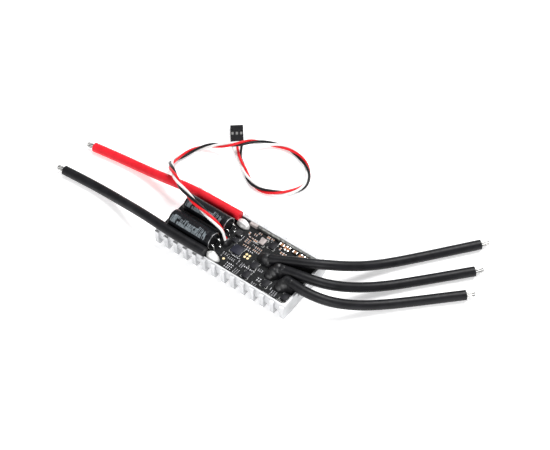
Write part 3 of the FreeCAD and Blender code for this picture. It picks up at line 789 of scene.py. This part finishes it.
def silk_outline(mesh, low, high):
    """Four printed corner brackets round a part."""
    left, right = low.x - SILK_GAP, high.x + SILK_GAP
    near, far = low.y - SILK_GAP, high.y + SILK_GAP
    reach_x = (right - left) * SILK_SHARE
    reach_y = (far - near) * SILK_SHARE
    for x, inward_x in ((left, 1), (right, -1)):
        for y, inward_y in ((near, 1), (far, -1)):
            add_stroke(mesh, (x, y), (x + inward_x * reach_x, y))
            add_stroke(mesh, (x, y), (x, y + inward_y * reach_y))


def add_stroke(mesh, first, second):
    """A thin printed line on the board, along X or Y."""
    half = SILK_WIDTH / 2
    low = Vector((min(first[0], second[0]) - half, min(first[1], second[1]) - half, BOARD_TOP))
    high = Vector((max(first[0], second[0]) + half, max(first[1], second[1]) + half,
                   BOARD_TOP + SILK_THICK))
    add_block(mesh, low, high)


def board_print():
    """Generic white print on the board: brackets round the chips and dashes by the edge."""
    def fill(mesh):
        for node in ("microcontroller", "gate_drivers", "voltage_regulator", "shielded_module"):
            for low, high in solid_boxes(node):
                silk_outline(mesh, low, high)
        for first, across, count, pitch, dash in EDGE_DASHES:
            for index in range(count):
                start = (first + index * pitch) * MM
                add_stroke(mesh, (start, across * MM), (start + dash * MM, across * MM))

    piece_from("board_print", fill, [SILK_WHITE])


def board_parts():
    two_ended("large_ceramic_capacitors", CERAMIC_TAN, BRIGHT_SOLDER)
    two_ended("small_ceramic_capacitors", CERAMIC_TAN)
    two_ended("chip_resistors", RESISTOR_BLACK)
    flat_package("microcontroller", CHIP_NAVY)
    flat_package("gate_drivers")
    flat_package("voltage_regulator", pitch=REGULATOR_PITCH)
    lidded_module()
    moulded_inductor()
    board_print()


# ---------------------------------------------------------------- capacitors

SLEEVE_SEGMENTS = 120
SLEEVE_ROWS = 168
PRINT_HALF_ANGLE = math.radians(36)
PRINT_TILT = math.radians(25)
PRINT_FROM = 1.5 * MM
PRINT_TO_END = 3.6 * MM
STROKE_PITCH = 1 / 3 * MM
STROKES_IN_GROUP = 7
SHOULDER = 0.9 * MM
GROOVE_FROM_END = 3.2 * MM
GROOVE_WIDTH = 1.5 * MM
GROOVE_DIP = 0.1 * MM
SLEEVE_WALL = 0.4 * MM
LIP_REACH = 0.7 * MM
# a solder joint's side: share of its height, share of its foot
CONE_SIDE = ((0, 1), (0.10, 0.86), (0.3, 0.62), (0.6, 0.46), (1, 0.36))


def sleeve_profile(length, radius):
    """The sleeve's outside, from the closed end's lip to the open end's lip."""
    groove_at = length - GROOVE_FROM_END
    outside = []
    for row in range(SLEEVE_ROWS + 1):
        along = length * row / SLEEVE_ROWS
        past_end = max(0.0, 1 - min(along, length - along) / SHOULDER)
        dip = GROOVE_DIP * math.exp(-((along - groove_at) / (GROOVE_WIDTH / 2)) ** 2)
        drop = SHOULDER * (1 - math.sqrt(1 - past_end ** 2))
        outside.append((along, radius - drop - dip))
    return outside


def is_printed(along, angle, length):
    """Pale ink: a solid stripe along the sleeve, and rows of uneven upright strokes below it."""
    height = angle / PRINT_HALF_ANGLE
    if abs(height) > 1 or not PRINT_FROM < along < length - PRINT_TO_END:
        return False
    column = math.floor(along / STROKE_PITCH)
    group = math.floor(along / (STROKES_IN_GROUP * STROKE_PITCH))
    stroke = noise.cell(Vector((column, 3.0, 0.5)))
    if height > 0.4:
        return noise.cell(Vector((column, 17.0, 0.5))) > -0.7
    if height > 0.0:
        return stroke > -0.1
    hang = noise.cell(Vector((group, 8.0, 0.5)))
    return stroke > -0.35 and height > -0.3 - 0.7 * max(0.0, hang)


def capacitor_sleeve(number):
    """The shrunk sleeve: black, with a pale printed band towards the top."""
    node = f"capacitor_{number}_sleeve"
    low, high = (Vector(corner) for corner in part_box(node))
    length = high.x - low.x
    radius = (high.z - low.z) / 2
    centre = (low + high) / 2
    along_x = Matrix.Translation((low.x, centre.y, centre.z)) @ Matrix.Rotation(math.pi / 2, 4, "Y")

    def fill(mesh):
        inner = radius - SLEEVE_WALL
        lip = inner - LIP_REACH
        inside = [(length - 0.1 * MM, lip), (length - 0.5 * MM, lip), (length - 1.0 * MM, inner),
                  (1.0 * MM, inner), (0.5 * MM, lip)]
        profile = sleeve_profile(length, radius) + inside
        add_lathe_loop(mesh, profile, along_x, SLEEVE_SEGMENTS)
        for face in mesh.faces:
            spot = face.calc_center_median()
            along = spot.x - low.x
            angle = math.atan2(centre.y - spot.y, spot.z - centre.z) - PRINT_TILT
            outside = math.hypot(spot.y - centre.y, spot.z - centre.z) > radius - 0.45 * MM
            if outside and is_printed(along, angle, length):
                face.material_index = 1

    piece_from(f"capacitor_{number}_shrink_sleeve", fill, [SLEEVE_BLACK, SLEEVE_PRINT],
               replaces=[node])


def capacitor_joints():
    """Hollow-sided cones of solder round the leads."""
    boxes = solid_boxes("capacitor_joints")

    def fill(mesh):
        for low, high in boxes:
            centre = Vector(((low.x + high.x) / 2, (low.y + high.y) / 2, low.z))
            foot = (high.x - low.x) / 2
            tall = high.z - low.z
            profile = [(rise * tall, share * foot) for rise, share in CONE_SIDE]
            add_lathe(mesh, profile, Matrix.Translation(centre), 28)

    piece_from("capacitor_solder_cones", fill, [BRIGHT_SOLDER],
               replaces=["capacitor_joints"], sharp=70)


# ---------------------------------------------------------------- solder lumps and sealant

def add_lump(mesh, low, high, seed, ridges=0.0, rough=1.0):
    """A rounded lump inside a box, flat below, with gentle unevenness."""
    made = bmesh.ops.create_icosphere(mesh, subdivisions=5, radius=1.0)
    centre = Vector(((low.x + high.x) / 2, (low.y + high.y) / 2, low.z))
    half = Vector(((high.x - low.x) / 2, (high.y - low.y) / 2, high.z - low.z))
    for vert in made["verts"]:
        aim = vert.co.copy()
        wave = noise.noise(aim * 1.6 + Vector((seed, 0, 0))) * 0.10 * rough
        fine = noise.noise(aim * 4.5 + Vector((0, seed, 0))) * 0.03 * rough
        groove = ridges * math.sin(9 * math.atan2(aim.z, aim.y)) * max(0.0, 1 - abs(aim.x))
        scale = 0.94 + wave + fine + groove
        height = max(aim.z, -0.06)
        vert.co = centre + Vector((aim.x * half.x, aim.y * half.y, height * half.z)) * scale


# each bulb's place (0 at the pad, 1 at the wire's end, 2 a wire's width along it), half width, height
COLLAR_BULBS = ((0.2, 3.2 * MM, 3.6 * MM), (0.6, 3.9 * MM, 5.6 * MM), (1.0, 3.6 * MM, 4.6 * MM))
BURIED_BULBS = ((0.2, 3.2 * MM, 3.6 * MM), (0.6, 4.0 * MM, 5.8 * MM), (1.0, 4.1 * MM, 7.0 * MM),
                (1.5, 3.6 * MM, 7.4 * MM))
SEALANT_BULBS = {"a": COLLAR_BULBS, "b": BURIED_BULBS, "c": BURIED_BULBS}
SEALANT_VOXEL = 0.22 * MM


def battery_joint(pole, seed):
    """The lump of solder that the battery wire's tinned strands fan out into."""
    node = f"battery_{pole}_joint"
    low, high = (Vector(corner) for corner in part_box(node))

    def fill(mesh):
        add_lump(mesh, low, high, seed, ridges=0.05)

    piece_from(f"battery_{pole}_solder", fill, [SOLDER], replaces=[node], sharp=80)


def signal_joints():
    boxes = solid_boxes("signal_joints")

    def fill(mesh):
        for seed, (low, high) in enumerate(boxes):
            add_lump(mesh, low, high, 3.0 * seed)

    piece_from("signal_solder", fill, [BRIGHT_SOLDER],
               replaces=["signal_joints"], sharp=80)


def signal_sealant():
    """The dab that holds the signal wires up where they leave the board."""
    low, high = (Vector(corner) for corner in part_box("signal_sealant"))
    skirt = Vector((0.3, 0.8, 0)) * MM

    def fill(mesh):
        add_lump(mesh, low - skirt, high + skirt, 2.5, rough=0.6)

    piece_from("signal_sealant_dab", fill, [SEALANT], replaces=["signal_sealant"],
               sharp=80)


def add_sealant_bulbs(mesh):
    """Overlapping bulbs from each motor pad to its wire, and on along the wire where it is buried."""
    for seed, phase in enumerate(PHASES):
        pad = Vector((*MOTOR_PADS[phase], BOARD_TOP))
        start, after = (Vector((*point[:2], BOARD_TOP)) for point in MOTOR_ROUTES[phase][:2])
        along_wire = start + (after - start).normalized() * WIRE_DIAMETER
        for place, half, tall in SEALANT_BULBS[phase]:
            if place <= 1:
                centre = pad.lerp(start, place)
            else:
                centre = start.lerp(along_wire, place - 1)
            reach = Vector((half, half, 0))
            add_lump(mesh, centre - reach, centre + reach + UP * tall, 5.0 * seed + place,
                     rough=0.4)


def fused_bulbs():
    """The bulbs as one smooth skin."""
    mesh = bmesh.new()
    add_sealant_bulbs(mesh)
    data = bpy.data.meshes.new("motor_sealant_rough")
    mesh.to_mesh(data)
    mesh.free()
    rough = bpy.data.objects.new("motor_sealant_rough", data)
    bpy.context.collection.objects.link(rough)
    remesh = rough.modifiers.new("remesh", "REMESH")
    remesh.mode = "VOXEL"
    remesh.voxel_size = SEALANT_VOXEL
    smooth = rough.modifiers.new("smooth", "SMOOTH")
    smooth.factor = 0.6
    smooth.iterations = 10
    final = bpy.data.meshes.new_from_object(
        rough.evaluated_get(bpy.context.evaluated_depsgraph_get()))
    bpy.data.objects.remove(rough)
    return final


def motor_sealant():
    """One run of sealant over the three motor joints and round the wires' ends."""
    skin = fused_bulbs()

    def fill(mesh):
        mesh.from_mesh(skin)

    piece_from("motor_sealant", fill, [SEALANT],
               replaces=[f"motor_{phase}_sealant" for phase in PHASES], sharp=80)


# ---------------------------------------------------------------- studio

FLOOR_SIZE = 6
WORLD_STRENGTH = 0.3
# each softbox's name, place, size and power
SOFTBOXES = (
    ("key", (0.10, 0.65, 1.30), 0.8, 26.0),
    ("front", (0.72, -0.92, 0.42), 0.7, 8.0),
    ("side", (-0.10, -1.15, 0.55), 0.7, 5.0),
)


def studio():
    bpy.ops.mesh.primitive_plane_add(size=FLOOR_SIZE, location=(0, 0, 0))
    floor = bpy.context.object
    floor.name = "studio_floor"
    floor.data.materials.append(studio_floor())
    world = bpy.data.worlds.new("studio")
    world.use_nodes = True
    background = world.node_tree.nodes["Background"]
    background.inputs["Color"].default_value = (1.0, 1.0, 1.0, 1)
    background.inputs["Strength"].default_value = WORLD_STRENGTH
    bpy.context.scene.world = world
    for softbox in SOFTBOXES:
        add_softbox(*softbox)
    bpy.context.scene.view_settings.view_transform = "Standard"


def add_softbox(name, place, size, power):
    data = bpy.data.lights.new(name, "AREA")
    data.size = size
    data.energy = power
    lamp = bpy.data.objects.new(name, data)
    lamp.location = place
    lamp.rotation_euler = (Vector((0, 0, 0)) - Vector(place)).to_track_quat("-Z", "Y").to_euler()
    bpy.context.collection.objects.link(lamp)


def camera():
    data = bpy.data.cameras.new("camera")
    data.lens = CAMERA_LENS
    data.sensor_width = CAMERA_SENSOR
    data.clip_start = 0.01
    view = bpy.data.objects.new("camera", data)
    flat = math.cos(CAMERA_ELEVATION)
    away = Vector((math.sin(CAMERA_AZIMUTH) * flat, -math.cos(CAMERA_AZIMUTH) * flat,
                   math.sin(CAMERA_ELEVATION)))
    aim = (-away).to_track_quat("-Z", "Y").to_matrix().to_4x4()
    roll = Matrix.Rotation(CAMERA_ROLL, 4, "Z")
    view.matrix_world = Matrix.Translation(CAMERA_TARGET + away * CAMERA_DISTANCE) @ aim @ roll
    bpy.context.collection.objects.link(view)
    bpy.context.scene.camera = view


# ---------------------------------------------------------------- the scene

def main():
    camera()
    studio()
    paint_cad_nodes()
    power_wires()
    signal_lead()
    board_parts()
    for number in (1, 2):
        capacitor_sleeve(number)
    capacitor_joints()
    for seed, pole in enumerate(POLES, start=1):
        battery_joint(pole, 7.0 * seed)
    signal_joints()
    signal_sealant()
    motor_sealant()


main()
